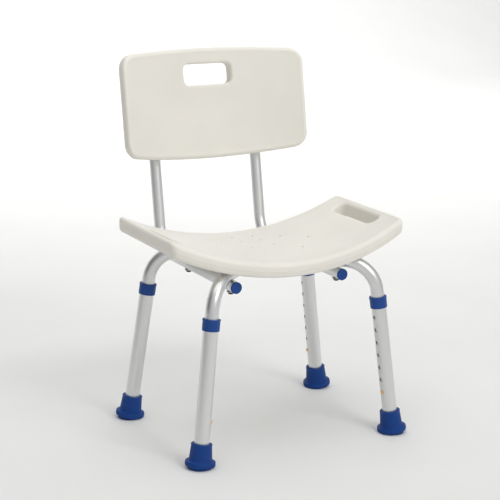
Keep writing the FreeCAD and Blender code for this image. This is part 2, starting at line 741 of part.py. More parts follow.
def back_outline(inset):
    """The back panel's face outline as a deep block along Y."""
    half = BACK_HALF_X - inset
    top = BACK_TOP_Z - inset
    bottom = BACK_BOTTOM_Z + inset
    near = BACK_MID_Y - BACK_REACH
    top_left = Vector(-half, near, top - BACK_TOP_CROWN)
    top_right = Vector(half, near, top - BACK_TOP_CROWN)
    bottom_left = Vector(-half, near, bottom + BACK_BOTTOM_CROWN)
    bottom_right = Vector(half, near, bottom + BACK_BOTTOM_CROWN)
    edges = [
        Part.Arc(bottom_left, Vector(0, near, bottom), bottom_right).toShape(),
        Part.LineSegment(bottom_right, top_right).toShape(),
        Part.Arc(top_right, Vector(0, near, top), top_left).toShape(),
        Part.LineSegment(top_left, bottom_left).toShape(),
    ]
    outline = prism(edges, REARWARD * 2 * BACK_REACH)
    return rounded_along(outline, REARWARD, BACK_CORNER - inset)


def back_band(inset):
    """The curved plate before its outline is cut."""
    inner = BACK_MID_RADIUS - BACK_THICKNESS / 2 + inset
    outer = BACK_MID_RADIUS + BACK_THICKNESS / 2 - inset
    low = BACK_BOTTOM_Z - BAND_MARGIN
    height = BACK_TOP_Z - BACK_BOTTOM_Z + 2 * BAND_MARGIN
    return arc_band(inner, outer, back_centre(low), BACK_HALF_X + BAND_MARGIN, REARWARD, UP * height)


def back_slot(grow):
    """The block that cuts the back handle slot."""
    half_x = BACK_SLOT_LENGTH / 2 + grow
    half_z = BACK_SLOT_HEIGHT / 2 + grow
    low = Vector(-half_x, BACK_MID_Y - BACK_REACH, BACK_SLOT_Z - half_z)
    high = Vector(half_x, BACK_MID_Y + BACK_REACH, BACK_SLOT_Z + half_z)
    return rounded_slot(low, high, REARWARD, BACK_SLOT_CORNER + grow)


def saddle(side):
    """A rib on the rear of the back panel that holds the front half of an upright."""
    x = side * BACK_TUBE_X
    low = Vector(x - SADDLE_HALF_WIDTH, SADDLE_ROOT_Y, SADDLE_BOTTOM_Z)
    high = Vector(x + SADDLE_HALF_WIDTH, SADDLE_FACE_Y, SADDLE_TOP_Z)
    rib = block(low, high)
    corners = [edge for edge in rib.Edges if edge.BoundBox.YMin > SADDLE_FACE_Y - 1]
    return rib.makeFillet(SADDLE_CORNER, corners)


def back_void():
    """The hollow inside the back panel, with posts left round the inserts."""
    void = back_band(PANEL_WALL).common(back_outline(PANEL_RIM_WALL))
    void = void.cut(back_slot(PANEL_WALL))
    for side in (-1, 1):
        x = side * BACK_TUBE_X
        for height in BACK_SCREW_Z:
            far = Vector(x, BACK_INSERT_FAR_Y - POST_WALL, height)
            void = void.cut(rod(Vector(x, 0, height), far, BACK_INSERT_RADIUS + POST_WALL))
    return void


def back_panel():
    """The hollow curved back panel with its slot and the saddles for the uprights."""
    plate = back_band(0).common(back_outline(0))
    centre = back_centre(0)
    for radius in (BACK_MID_RADIUS - BACK_THICKNESS / 2, BACK_MID_RADIUS + BACK_THICKNESS / 2):
        plate = plate.makeFillet(BACK_EDGE_ROUND, edges_on_radius(plate, centre, radius, UP))
    plate = plate.cut(back_slot(0))
    slot_edges = []
    for radius in (BACK_MID_RADIUS - BACK_THICKNESS / 2, BACK_MID_RADIUS + BACK_THICKNESS / 2):
        for edge in edges_on_radius(plate, centre, radius, UP):
            box = edge.BoundBox
            if abs(box.Center.z - BACK_SLOT_Z) < BACK_SLOT_HEIGHT and abs(box.Center.x) < BACK_SLOT_LENGTH:
                if box.XLength < BACK_SLOT_LENGTH and box.ZLength < BACK_SLOT_HEIGHT:
                    slot_edges.append(edge)
    plate = plate.makeFillet(SLOT_ROUND, slot_edges)
    for side in (-1, 1):
        plate = plate.fuse(saddle(side))
    for side in (-1, 1):
        x = side * BACK_TUBE_X
        groove_low = Vector(x, 0, BACK_BOTTOM_Z - BAND_MARGIN)
        groove_high = Vector(x, 0, UPRIGHT_LENGTH + SADDLE_TOP_GAP)
        plate = plate.cut(rod(groove_low, groove_high, BACK_TUBE_RADIUS + SADDLE_GROOVE_GAP))
        for height in BACK_SCREW_Z:
            far = Vector(x, BACK_INSERT_FAR_Y, height)
            plate = plate.cut(rod(Vector(x, 0, height), far, BACK_INSERT_RADIUS))
    return leaned(plate.cut(back_void()))


def back_screws():
    """Four screws through the uprights into the back panel."""
    screws = []
    reach = BACK_TUBE_RADIUS - BACK_INSERT_FAR_Y - 1.0
    for side in (-1, 1):
        for height in BACK_SCREW_Z:
            outline = [
                (0, -BACK_SCREW_HEAD),
                (BACK_SCREW_HEAD_RADIUS - 1.8, -BACK_SCREW_HEAD),
                (BACK_SCREW_HEAD_RADIUS, -BACK_SCREW_HEAD + 1.6),
                (BACK_SCREW_HEAD_RADIUS, 0),
                (BACK_SCREW_RADIUS, 0),
                (BACK_SCREW_RADIUS, reach),
                (0, reach),
            ]
            start = Vector(side * BACK_TUBE_X, BACK_TUBE_RADIUS + 0.05, height)
            screws.append(leaned(revolved(outline, start, -REARWARD)))
    return Part.makeCompound(screws)


def back_inserts():
    """Threaded inserts moulded into the back panel's saddles."""
    inserts = []
    for side in (-1, 1):
        for height in BACK_SCREW_Z:
            x = side * BACK_TUBE_X
            near = Vector(x, BACK_INSERT_NEAR_Y, height)
            bore_end = Vector(x, BACK_INSERT_FAR_Y + 1.0, height)
            body = rod(near, Vector(x, BACK_INSERT_FAR_Y, height), BACK_INSERT_RADIUS)
            inserts.append(leaned(body.cut(rod(near, bore_end, BACK_SCREW_RADIUS))))
    return Part.makeCompound(inserts)


def main():
    os.makedirs("parts", exist_ok=True)
    export("cross_tube_lower", cross_tube((-1, -1), -1))
    export("cross_tube_upper", cross_tube((1, -1), 1))
    for name, (side, end) in CORNERS.items():
        export("leg_tube_" + name, leg_tube(side, end))
        export("leg_collar_" + name, leg_collar(side, end))
        export("foot_" + name, foot(side, end))
        export("foot_washer_" + name, foot_washer(side, end))
        export("snap_button_" + name, snap_button(side, end))
        export("button_spring_" + name, button_spring(side, end))
    for name, side in (("left", -1), ("right", 1)):
        export("back_tube_" + name, back_tube(side))
        export("rail_cap_" + name, rail_cap(side))
    export("seat_panel", seat_panel())
    export("seat_screws", seat_screws())
    export("seat_screw_washers", seat_screw_washers())
    export("seat_inserts", seat_inserts())
    export("cross_rivet", cross_rivet())
    export("back_panel", back_panel())
    export("back_screws", back_screws())
    export("back_inserts", back_inserts())


main()
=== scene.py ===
"""Looks of the shower stool: meshes, materials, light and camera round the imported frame.

Metres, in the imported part's own frame: +Z up, the sitter faces -Y, the floor is Z = 0.
"""

import json
import math

import bpy
import bmesh
import numpy as np
from mathutils import Matrix, Vector, geometry


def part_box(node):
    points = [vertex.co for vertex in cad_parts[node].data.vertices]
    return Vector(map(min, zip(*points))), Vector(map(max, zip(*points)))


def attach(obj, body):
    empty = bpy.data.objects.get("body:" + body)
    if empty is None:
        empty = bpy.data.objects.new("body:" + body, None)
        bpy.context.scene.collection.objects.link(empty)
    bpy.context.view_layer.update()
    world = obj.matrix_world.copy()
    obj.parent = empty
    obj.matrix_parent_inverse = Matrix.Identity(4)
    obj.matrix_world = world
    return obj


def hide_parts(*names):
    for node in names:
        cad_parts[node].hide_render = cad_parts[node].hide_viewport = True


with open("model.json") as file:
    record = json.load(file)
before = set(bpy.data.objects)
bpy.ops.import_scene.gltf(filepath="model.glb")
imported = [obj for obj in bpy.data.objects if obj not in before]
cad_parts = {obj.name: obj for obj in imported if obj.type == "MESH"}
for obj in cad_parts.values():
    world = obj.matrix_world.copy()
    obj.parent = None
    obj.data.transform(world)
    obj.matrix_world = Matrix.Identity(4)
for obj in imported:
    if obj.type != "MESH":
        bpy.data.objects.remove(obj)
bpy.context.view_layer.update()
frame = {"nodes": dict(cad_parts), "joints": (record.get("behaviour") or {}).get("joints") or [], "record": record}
nodes = frame["nodes"]
joint_axis = {joint["name"]: Vector(joint["axis"]).normalized() for joint in frame["joints"]}
sole = {mount["name"]: Vector(mount["pos_m"]) for mount in frame["record"]["mounts"]}

MM = 0.001
CORNERS = ("front_left", "front_right", "rear_left", "rear_right")
UP = Vector((0, 0, 1))

# How finely the two panels are meshed. Each gap is a share of the spacing, kept clear beside a rim.
OUTLINE_STEP = 7 * MM
PANEL_SPACING = 6 * MM
RIM_GAP = 0.55
HOLE_GAP = 0.45

# Faces that meet at more than this many degrees have a crease between them.
PANEL_CREASE = 38
TURNED_CREASE = 32
CAD_CREASE = 40

# Seat: an arc across its width, measured from the middle of its thickness.
SEAT_THICKNESS = 27 * MM
SEAT_MID_RADIUS = 576.5 * MM
SEAT_HALF_X = 249.5 * MM
SEAT_CORNER = 16 * MM
SEAT_FRONT_BULGE = 27 * MM
SEAT_REAR_BULGE = 3.7 * MM
SEAT_TOP_ROUND = 9 * MM
SEAT_BOTTOM_ROUND = 7 * MM
SEAT_LIP = 0.5 * MM

# Seat slots: X and Y of the middle, width, length and corner radius.
SEAT_SLOT = (218 * MM, -45.5 * MM, 30 * MM, 140 * MM, 13 * MM)
SEAT_SLOT_ROUNDS = (5 * MM, 4 * MM)

# Drain holes: for each row's Y, how far its pairs of holes are from the middle, in mm.
DRAIN_RADIUS = 2.8 * MM
DRAIN_ROUNDS = (1.3 * MM, 0.8 * MM)
DRAIN_ROWS = {-102.5: (22, 62), -56.5: (24, 101), -7.5: (22, 66), 29.5: (23,)}

# Back panel, drawn upright about the corners of the back tubes and leaned back with them.
BACK_RAKE = math.atan(0.19)
BACK_PIVOT = Vector((0, 159.3 * MM, 319.1 * MM))
BACK_MID_Y = -23 * MM
BACK_MID_RADIUS = 521 * MM
BACK_THICKNESS = 28 * MM
BACK_HALF_X = 202.4 * MM
BACK_BOTTOM_Z = 177.5 * MM
BACK_TOP_Z = 401 * MM
BACK_TOP_CROWN = 12 * MM
BACK_BOTTOM_CROWN = 12 * MM
BACK_CORNER = 30 * MM
BACK_TOP_ROUND = 8 * MM
BACK_BOTTOM_ROUND = 9 * MM
BACK_LIP = 0.3 * MM

# Back slot: X and Z of the middle, width, height and corner radius.
BACK_SLOT = (0, 348 * MM, 108 * MM, 43 * MM, 12 * MM)
BACK_SLOT_ROUNDS = (4.5 * MM, 4 * MM)

# Saddles: ribs behind the back panel, each with a groove that an upright lies in.
UPRIGHT_X = 115 * MM
GROOVE_RADIUS = 11.2 * MM
GROOVE_TOP = 385.3 * MM
GROOVE_OVERRUN = 60 * MM
SADDLE_WIDTH = 34 * MM
SADDLE_ENDS = (200 * MM, 392 * MM)
SADDLE_CORNER = 6 * MM
SADDLE_ROOT_Y = -34 * MM
SADDLE_EDGE_Y = -5 * MM
SADDLE_EDGE_ROUND = 4 * MM
SADDLE_EDGE_STEPS = 6

# Cross tubes: they run between the leg corners, and lie in channels under the seat.
CROSS_MIDDLE = Vector((0, -55 * MM, 343 * MM))
CROSS_CORNER = Vector((172 * MM, 133.5 * MM, 0))
CHANNEL_RADIUS = 13.1 * MM
CHANNEL_REACH = 300 * MM
CHANNEL_DROP = 50 * MM
CHANNEL_STEPS = 24

# Pocket: the room under the seat for the flattened crossing of the two tubes.
POCKET_HALF_LENGTH = 44 * MM
POCKET_HALF_WIDTH = 17 * MM
POCKET_DEPTH = 13.2 * MM

# Legs: the radius of the outer tube, and how far up its axis from the floor the button is.
LEG_RADIUS = 14.3 * MM
BUTTON_S = 86 * MM

# Screws, in mm: radius and height of the head, radius of the shank, depth of the recess.
SEAT_SCREW = {"head_radius": 5.8, "head_height": 4.0, "shank_radius": 3.0, "recess": 2.2}
BACK_SCREW = {"head_radius": 5.0, "head_height": 3.2, "shank_radius": 2.5, "recess": 1.9}
BACK_SCREW_LENGTH = 36.1
BACK_SCREW_Y = 11.15 * MM
BACK_SCREW_Z = (235 * MM, 360 * MM)


# ---------------------------------------------------------------- outlines and panels

def arc_points(centre, radius, start, end, count):
    """Points on an arc, both ends included, angles in degrees."""
    angles = np.radians(np.linspace(start, end, count))
    return [(centre[0] + radius * math.cos(a), centre[1] + radius * math.sin(a)) for a in angles]


def rounded_rectangle(centre, width, height, radius, arc_count=9, longest=8 * MM):
    """A closed anticlockwise outline with round corners and evenly divided sides."""
    half_x = width / 2 - radius
    half_y = height / 2 - radius
    corners = [(half_x, half_y, 0), (-half_x, half_y, 90), (-half_x, -half_y, 180), (half_x, -half_y, 270)]
    points = []
    for x, y, start in corners:
        points += arc_points((centre[0] + x, centre[1] + y), radius, start, start + 90, arc_count)
    return divided(points, longest)


def divided(points, longest):
    """The same closed outline with no side longer than a given length."""
    result = []
    for here, there in zip(points, points[1:] + points[:1]):
        gap = math.dist(here, there)
        if gap < 1e-7:
            continue
        parts = max(1, math.ceil(gap / longest))
        for index in range(parts):
            share = index / parts
            x = here[0] + (there[0] - here[0]) * share
            y = here[1] + (there[1] - here[1]) * share
            result.append((x, y))
    return result


def bowed_outline(half_x, low, high, low_bow, high_bow, radius, count=64):
    """A rectangle with bowed lower and upper sides and round corners, anticlockwise.

    Each bow is how far its side falls back from the middle to the corners.
    """
    def lower(x):
        return low + low_bow * (x / half_x) ** 2

    def upper(x):
        return high - high_bow * (x / half_x) ** 2

    def corner(side, edge, inward):
        x = side * (half_x - radius)
        slope = (edge(x + 1e-5) - edge(x - 1e-5)) / 2e-5
        tilt = math.atan(slope)
        centre_y = edge(x) + inward * radius / math.cos(tilt)
        return (x, centre_y), tilt

    points = []
    (cx, cy), tilt = corner(1, lower, 1)
    points += arc_points((cx, cy), radius, math.degrees(tilt) - 90, 0, 12)
    (cx, cy), tilt = corner(1, upper, -1)
    points += arc_points((cx, cy), radius, 0, 90 + math.degrees(tilt), 12)
    span = np.linspace(half_x - radius, -half_x + radius, count)[1:-1]
    points += [(float(x), upper(float(x))) for x in span]
    (cx, cy), tilt = corner(-1, upper, -1)
    points += arc_points((cx, cy), radius, 90 + math.degrees(tilt), 180, 12)
    (cx, cy), tilt = corner(-1, lower, 1)
    points += arc_points((cx, cy), radius, 180, 270 + math.degrees(tilt), 12)
    points += [(float(x), lower(float(x))) for x in span[::-1]]
    return divided(points, OUTLINE_STEP)


def inset_loop(points, distance):
    """A closed anticlockwise outline moved inward, or outward if distance is negative."""
    loop = np.array(points)
    ahead = np.roll(loop, -1, axis=0) - loop
    behind = loop - np.roll(loop, 1, axis=0)
    ahead /= np.linalg.norm(ahead, axis=1)[:, None]
    behind /= np.linalg.norm(behind, axis=1)[:, None]
    tangent = ahead + behind
    tangent /= np.linalg.norm(tangent, axis=1)[:, None]
    inward = np.stack([-tangent[:, 1], tangent[:, 0]], axis=1)
    return loop + inward * distance


def inside(points, loop):
    """Which points lie inside a closed outline."""
    x, y = points[:, 0], points[:, 1]
    result = np.zeros(len(points), bool)
    ring = np.array(loop)
    for (ax, ay), (bx, by) in zip(ring, np.roll(ring, -1, axis=0)):
        if ay == by:
            continue
        crosses = (ay > y) != (by > y)
        result ^= crosses & (x < (bx - ax) * (y - ay) / (by - ay) + ax)
    return result


def far_from(points, loop, distance):
    """Which points are further than a distance from every point of an outline."""
    ring = np.array(loop)
    gaps = np.linalg.norm(points[:, None, :] - ring[None, :, :], axis=2)
    return gaps.min(axis=1) > distance


def regions(triangles, walls):
    """The triangles in groups that can be walked through without crossing a wall."""
    sharing = {}
    for index, triangle in enumerate(triangles):
        for k in range(3):
            sharing.setdefault(frozenset((triangle[k], triangle[k - 1])), []).append(index)
    groups = []
    seen = set()
    for first in range(len(triangles)):
        if first in seen:
            continue
        seen.add(first)
        group = [first]
        for index in group:
            triangle = triangles[index]
            for k in range(3):
                side = frozenset((triangle[k], triangle[k - 1]))
                if side in walls:
                    continue
                for other in sharing[side]:
                    if other not in seen:
                        seen.add(other)
                        group.append(other)
        groups.append(group)
    return groups


def triangle_area(corners):
    """The area of a triangle in plan."""
    a, b, c = corners
    return abs((b[0] - a[0]) * (c[1] - a[1]) - (c[0] - a[0]) * (b[1] - a[1])) / 2


def panel_mesh(name, outline, holes, edge_profile, hole_profiles, place, spacing):
    """A closed moulded panel with holes.

    outline and holes are closed plan loops. A profile lists (inset, height) pairs from
    the edge of the top face round to the edge of the bottom face, where inset is measured
    into the material. place maps (x, y, height) to the frame.
    """
    mesh = bmesh.new()
    caps = {"top": [], "bottom": []}

    def add_walls(loop, profile, sign):
        rings = []
        for inset, height in profile:
            ring = inset_loop(loop, sign * inset)
            rings.append([mesh.verts.new(place(x, y, height)) for x, y in ring])
        count = len(loop)
        for upper, lower in zip(rings, rings[1:]):
            for i in range(count):
                j = (i + 1) % count
                mesh.faces.new((upper[i], lower[i], lower[j], upper[j])[::sign])
        caps["top"].append((inset_loop(loop, sign * profile[0][0]), rings[0]))
        caps["bottom"].append((inset_loop(loop, sign * profile[-1][0]), rings[-1]))

    add_walls(outline, edge_profile, 1)
    for hole, profile in zip(holes, hole_profiles):
        add_walls(hole, profile, -1)

    ring = np.array(outline)
    low, high = ring.min(axis=0), ring.max(axis=0)
    columns = np.arange(low[0], high[0], spacing)
    rows = np.arange(low[1], high[1], spacing)
    grid = np.array([(x + (0.5 * spacing if k % 2 else 0), y) for k, y in enumerate(rows) for x in columns])
    for face, level in (("top", edge_profile[0][1]), ("bottom", edge_profile[-1][1])):
        loops = caps[face]
        keep = inside(grid, loops[0][0]) & far_from(grid, loops[0][0], spacing * RIM_GAP)
        for loop, _ in loops[1:]:
            keep &= ~inside(grid, loop) & far_from(grid, loop, spacing * HOLE_GAP)
        coords, verts, sides = [], [], []
        for loop, ring_verts in loops:
            start = len(coords)
            coords += [tuple(p) for p in loop]
            verts += ring_verts
            sides += [(start + i, start + (i + 1) % len(loop)) for i in range(len(loop))]
        for x, y in grid[keep]:
            coords.append((x, y))
            verts.append(mesh.verts.new(place(x, y, level)))
        made = geometry.delaunay_2d_cdt([Vector(c) for c in coords], sides, [], 0, 1e-9)
        plan, edges, triangles, origins, edge_origins = made[:5]
        walls = {frozenset(edge) for edge, sources in zip(edges, edge_origins) if sources}
        areas = [triangle_area([plan[i] for i in triangle]) for triangle in triangles]
        panel = max(regions(triangles, walls), key=lambda group: sum(areas[index] for index in group))
        for index in panel:
            corners = [verts[origins[i][0]] for i in triangles[index]]
            if face == "bottom":
                corners.reverse()
            mesh.faces.new(corners)
    bmesh.ops.recalc_face_normals(mesh, faces=mesh.faces[:])
    return new_piece(name, mesh)


def top_arc(half, rounding, steps, lip=0.0):
    """The rounding at a panel's top face, as (inset, height) pairs going outward."""
    angles = [math.pi / 2 * step / steps for step in range(steps + 1)]
    return [
        (rounding * (1 - math.sin(a)), half - rounding * (1 - math.cos(a)) + lip * math.cos(a))
        for a in angles
    ]


def bottom_arc(half, rounding, steps):
    """The rounding at a panel's bottom face, as (inset, height) pairs going inward."""
    angles = [math.pi / 2 * step / steps for step in range(steps + 1)]
    return [(rounding * (1 - math.cos(a)), -half + rounding * (1 - math.sin(a))) for a in angles]


def edge_of(thickness, top_round, bottom_round, lip):
    """The profile round a panel's rim, raised at the top, with the mould's seam line along it."""
    half = thickness / 2
    margin = 1.4 * MM
    seam = 0.25 * MM
    seam_z = (bottom_round - top_round) / 2
    profile = [(top_round + margin, half), (top_round + margin / 2, half + lip * 0.6)]
    profile += top_arc(half, top_round, 8, lip)
    for out, height in ((0, 0.9), (-seam, 0.3), (-seam, -0.3), (0, -0.9)):
        profile.append((out, seam_z + height * MM))
    profile += bottom_arc(half, bottom_round, 6)
    profile.append((bottom_round + margin, -half))
    return profile


def hole_edge(thickness, top_round, bottom_round, steps=6, margin=0.8 * MM):
    """The profile of a hole's wall through a panel, rounded at both faces."""
    half = thickness / 2
    profile = [(top_round + margin, half)]
    profile += top_arc(half, top_round, steps)
    profile.append((0, 0))
    profile += bottom_arc(half, bottom_round, steps)
    profile.append((bottom_round + margin, -half))
    return profile


def circle_loop(centre, radius, count=20):
    """A closed round outline."""
    return arc_points(centre, radius, 0, 360 * (1 - 1 / count), count)


# ---------------------------------------------------------------- the two moulded panels

SEAT_LOW, SEAT_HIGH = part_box("seat_panel")


def seat_place(x, y, height):
    """A seat point: bent to the seat's arc across X."""
    centre_z = SEAT_LOW.z + SEAT_THICKNESS / 2 + SEAT_MID_RADIUS
    rise = math.sqrt(SEAT_MID_RADIUS ** 2 - x * x)
    return Vector((x, y, centre_z - rise + height * SEAT_MID_RADIUS / rise))


def cut_tool(name, points, direction):
    """A prism that a boolean modifier uses: a closed outline in space, extruded."""
    mesh = bmesh.new()
    near = [mesh.verts.new(point) for point in points]
    far = [mesh.verts.new(point + direction) for point in points]
    mesh.faces.new(near)
    mesh.faces.new(far[::-1])
    for i in range(len(points)):
        j = (i + 1) % len(points)
        mesh.faces.new((near[j], near[i], far[i], far[j]))
    bmesh.ops.recalc_face_normals(mesh, faces=mesh.faces[:])
    return new_piece(name, mesh)


def new_object(name, data):
    """An object in the scene, from a mesh, a light or a camera."""
    made = bpy.data.objects.new(name, data)
    bpy.context.scene.collection.objects.link(made)
    return made


def new_piece(name, mesh):
    """An object from a bmesh, which is freed."""
    data = bpy.data.meshes.new(name)
    mesh.to_mesh(data)
    mesh.free()
    return new_object(name, data)


def combined(piece, tools, operation):
    """Add tools to a piece or cut them from it, for good, and remove them."""
    for tool in tools:
        change = piece.modifiers.new("change", "BOOLEAN")
        change.operation = operation
        change.solver = "EXACT"
        change.object = tool
        bpy.context.view_layer.update()
        seen = piece.evaluated_get(bpy.context.evaluated_depsgraph_get())
        data = bpy.data.meshes.new_from_object(seen)
        piece.modifiers.clear()
        old = piece.data
        piece.data = data
        bpy.data.meshes.remove(old)
        bpy.data.objects.remove(tool)


def smoothed(piece, angle):
    """Smooth shading, with creases where faces meet at more than an angle in degrees."""
    piece.data.shade_smooth()
    piece.data.set_sharp_from_angle(angle=math.radians(angle))


def channel_tools():
    """The space of each cross tube and of the crossing under the seat, open downward."""
    tools = []
    for side in (-1, 1):
        along = Vector((side * CROSS_CORNER.x, CROSS_CORNER.y, 0)).normalized()
        sideways = Vector((-along.y, along.x, 0))
        start = CROSS_MIDDLE - along * CHANNEL_REACH
        points = [start - sideways * CHANNEL_RADIUS - UP * CHANNEL_DROP]
        for step in range(CHANNEL_STEPS + 1):
            angle = math.pi * step / CHANNEL_STEPS
            across = sideways * CHANNEL_RADIUS * math.cos(angle)
            points.append(start - across + UP * CHANNEL_RADIUS * math.sin(angle))
        points.append(start + sideways * CHANNEL_RADIUS - UP * CHANNEL_DROP)
        tools.append(cut_tool("channel_tool", points, along * (CHANNEL_REACH * 2)))
        reach = along * POCKET_HALF_LENGTH
        width = sideways * POCKET_HALF_WIDTH
        low = CROSS_MIDDLE - UP * CHANNEL_DROP
        corners = [low - reach - width, low + reach - width, low + reach + width, low - reach + width]
        tools.append(cut_tool("pocket_tool", corners, UP * (CHANNEL_DROP + POCKET_DEPTH)))
    return tools


def seat_panel():
    """The moulded seat, with two slots, drain holes, and channels for the cross tubes."""
    outline = bowed_outline(
        SEAT_HALF_X, SEAT_LOW.y, SEAT_HIGH.y, SEAT_FRONT_BULGE, SEAT_REAR_BULGE, SEAT_CORNER
    )
    edge = edge_of(SEAT_THICKNESS, SEAT_TOP_ROUND, SEAT_BOTTOM_ROUND, SEAT_LIP)
    slot_x, slot_y, *slot_shape = SEAT_SLOT
    holes = [rounded_rectangle((side * slot_x, slot_y), *slot_shape) for side in (-1, 1)]
    profiles = [hole_edge(SEAT_THICKNESS, *SEAT_SLOT_ROUNDS)] * len(holes)
    for y, offsets in DRAIN_ROWS.items():
        for offset in offsets:
            for side in (-1, 1):
                holes.append(circle_loop((side * offset * MM, y * MM), DRAIN_RADIUS))
                profiles.append(hole_edge(SEAT_THICKNESS, *DRAIN_ROUNDS, steps=3, margin=0.6 * MM))
    piece = panel_mesh("seat_panel_moulded", outline, holes, edge, profiles, seat_place, PANEL_SPACING)
    combined(piece, channel_tools(), "DIFFERENCE")
    smoothed(piece, PANEL_CREASE)
    return piece


def back_place(x, z, height):
    """A back panel point: bent round the sitter, then leaned back."""
    reach = math.sqrt(BACK_MID_RADIUS ** 2 - x * x)
    y = BACK_MID_Y - BACK_MID_RADIUS + reach - height * BACK_MID_RADIUS / reach
    return leaned(Vector((x, y, z)))


def leaned(point):
    """A point drawn upright about the back tubes' corners, leaned back with them."""
    return Matrix.Rotation(-BACK_RAKE, 3, "X") @ point + BACK_PIVOT


def saddle_tool(side):
    """A rib behind the back panel, with rounded edges, that an upright lies in."""
    low, high = SADDLE_ENDS
    middle = (side * UPRIGHT_X, (low + high) / 2)
    outline = rounded_rectangle(middle, SADDLE_WIDTH, high - low, SADDLE_CORNER, arc_count=7, longest=1.0)
    mesh = bmesh.new()
    rings = []
    profile = [(0.0, SADDLE_ROOT_Y), (0.0, SADDLE_EDGE_Y)]
    for step in range(1, SADDLE_EDGE_STEPS + 1):
        angle = math.pi / 2 * step / SADDLE_EDGE_STEPS
        inset = SADDLE_EDGE_ROUND * (1 - math.cos(angle))
        profile.append((inset, SADDLE_EDGE_Y + SADDLE_EDGE_ROUND * math.sin(angle)))
    for inset, y in profile:
        ring = inset_loop(outline, inset)
        rings.append([mesh.verts.new(leaned(Vector((x, y, z)))) for x, z in ring])
    for near, far in zip(rings, rings[1:]):
        for i in range(len(outline)):
            j = (i + 1) % len(outline)
            mesh.faces.new((near[i], near[j], far[j], far[i]))
    mesh.faces.new(rings[0])
    mesh.faces.new(rings[-1])
    bmesh.ops.recalc_face_normals(mesh, faces=mesh.faces[:])
    return new_piece("saddle_tool", mesh)


def groove_tool(side):
    """The space of an upright in its saddle."""
    circle = circle_loop((side * UPRIGHT_X, 0), GROOVE_RADIUS, count=64)
    low = SADDLE_ENDS[0] - GROOVE_OVERRUN
    points = [leaned(Vector((x, y, low))) for x, y in circle]
    along = leaned(Vector((0, 0, GROOVE_TOP))) - leaned(Vector((0, 0, low)))
    return cut_tool("groove_tool", points, along)


def back_panel():
    """The moulded back panel, with its slot and with a saddle for each upright."""
    outline = bowed_outline(
        BACK_HALF_X, BACK_BOTTOM_Z, BACK_TOP_Z, BACK_BOTTOM_CROWN, BACK_TOP_CROWN, BACK_CORNER
    )
    edge = edge_of(BACK_THICKNESS, BACK_TOP_ROUND, BACK_BOTTOM_ROUND, BACK_LIP)
    slot_x, slot_z, *slot_shape = BACK_SLOT
    holes = [rounded_rectangle((slot_x, slot_z), *slot_shape)]
    profiles = [hole_edge(BACK_THICKNESS, *BACK_SLOT_ROUNDS)]
    piece = panel_mesh("back_panel_moulded", outline, holes, edge, profiles, back_place, PANEL_SPACING)
    combined(piece, [saddle_tool(side) for side in (-1, 1)], "UNION")
    combined(piece, [groove_tool(side) for side in (-1, 1)], "DIFFERENCE")
    smoothed(piece, PANEL_CREASE)
    return piece


# ---------------------------------------------------------------- turned pieces

def filleted(points, steps=6):
    """A profile of (radius, distance) points in mm, from (radius, distance, rounding) corners."""
    result = []
    count = len(points)
    for index, (radius, distance, rounding) in enumerate(points):
        here = Vector((radius, distance))
        if rounding == 0:
            result.append((radius, distance))
            continue
        back = (Vector(points[index - 1][:2]) - here).normalized()
        ahead = (Vector(points[(index + 1) % count][:2]) - here).normalized()
        opening = back.angle(ahead)
        centre = here + (back + ahead).normalized() * (rounding / math.sin(opening / 2))
        start = here + back * (rounding / math.tan(opening / 2)) - centre
        sweep = math.pi - opening
        if back.x * ahead.y - back.y * ahead.x > 0:
            sweep = -sweep
        for step in range(steps + 1):
            angle = sweep * step / steps
            turned_x = start.x * math.cos(angle) - start.y * math.sin(angle)
            turned_y = start.x * math.sin(angle) + start.y * math.cos(angle)
            result.append((centre.x + turned_x, centre.y + turned_y))
    return result


def hexagon(radius, angle):
    """The distance from the middle to the side of a hexagon in one direction."""
    third = math.pi / 3
    return radius * math.cos(third / 2) / math.cos((angle % third) - third / 2)


def turn_into(mesh, profile, origin, axis, count=72, level=0, hexagonal=()):
    """Add a closed turned shell, from (radius, distance) points in mm along an axis.

    The first points, level of them, are measured up from the floor, not along the axis,
    and then none of the shell is below the floor.
    The points listed in hexagonal lie on a hexagon.
    """
    turn = axis.to_track_quat("Z", "Y")
    rings = []
    for index, (radius, distance) in enumerate(profile):
        if radius < 1e-6:
            places = [origin + axis * (distance * MM)]
        else:
            places = []
            for step in range(count):
                angle = 2 * math.pi * step / count
                reach = (hexagon(radius, angle) if index in hexagonal else radius) * MM
                spoke = Vector((reach * math.cos(angle), reach * math.sin(angle), distance * MM))
                places.append(origin + turn @ spoke)
        if index < level:
            places = [place + axis * ((distance * MM - place.z) / axis.z) for place in places]
        elif level:
            places = [place + axis * (max(0.0, -place.z) / axis.z) for place in places]
        rings.append([mesh.verts.new(place) for place in places])
    if len(rings[0]) > 1:
        rings.append(rings[0])
    for near, far in zip(rings, rings[1:]):
        for i in range(count):
            j = (i + 1) % count
            corners = [near[i % len(near)], near[j % len(near)], far[j % len(far)], far[i % len(far)]]
            corners = list(dict.fromkeys(corners))
            mesh.faces.new(corners)


def turned_piece(name, shells):
    """An object of one or more turned shells."""
    mesh = bmesh.new()
    for shell in shells:
        turn_into(mesh, **shell)
    bmesh.ops.recalc_face_normals(mesh, faces=mesh.faces[:])
    piece = new_piece(name, mesh)
    smoothed(piece, TURNED_CREASE)
    return piece


def leg_shell(corner, profile, **more):
    """A shell turned about a leg's axis, measured from the middle of its sole."""
    origin = sole["sole_" + corner]
    return {"profile": profile, "origin": origin, "axis": -joint_axis["leg_length_" + corner], **more}


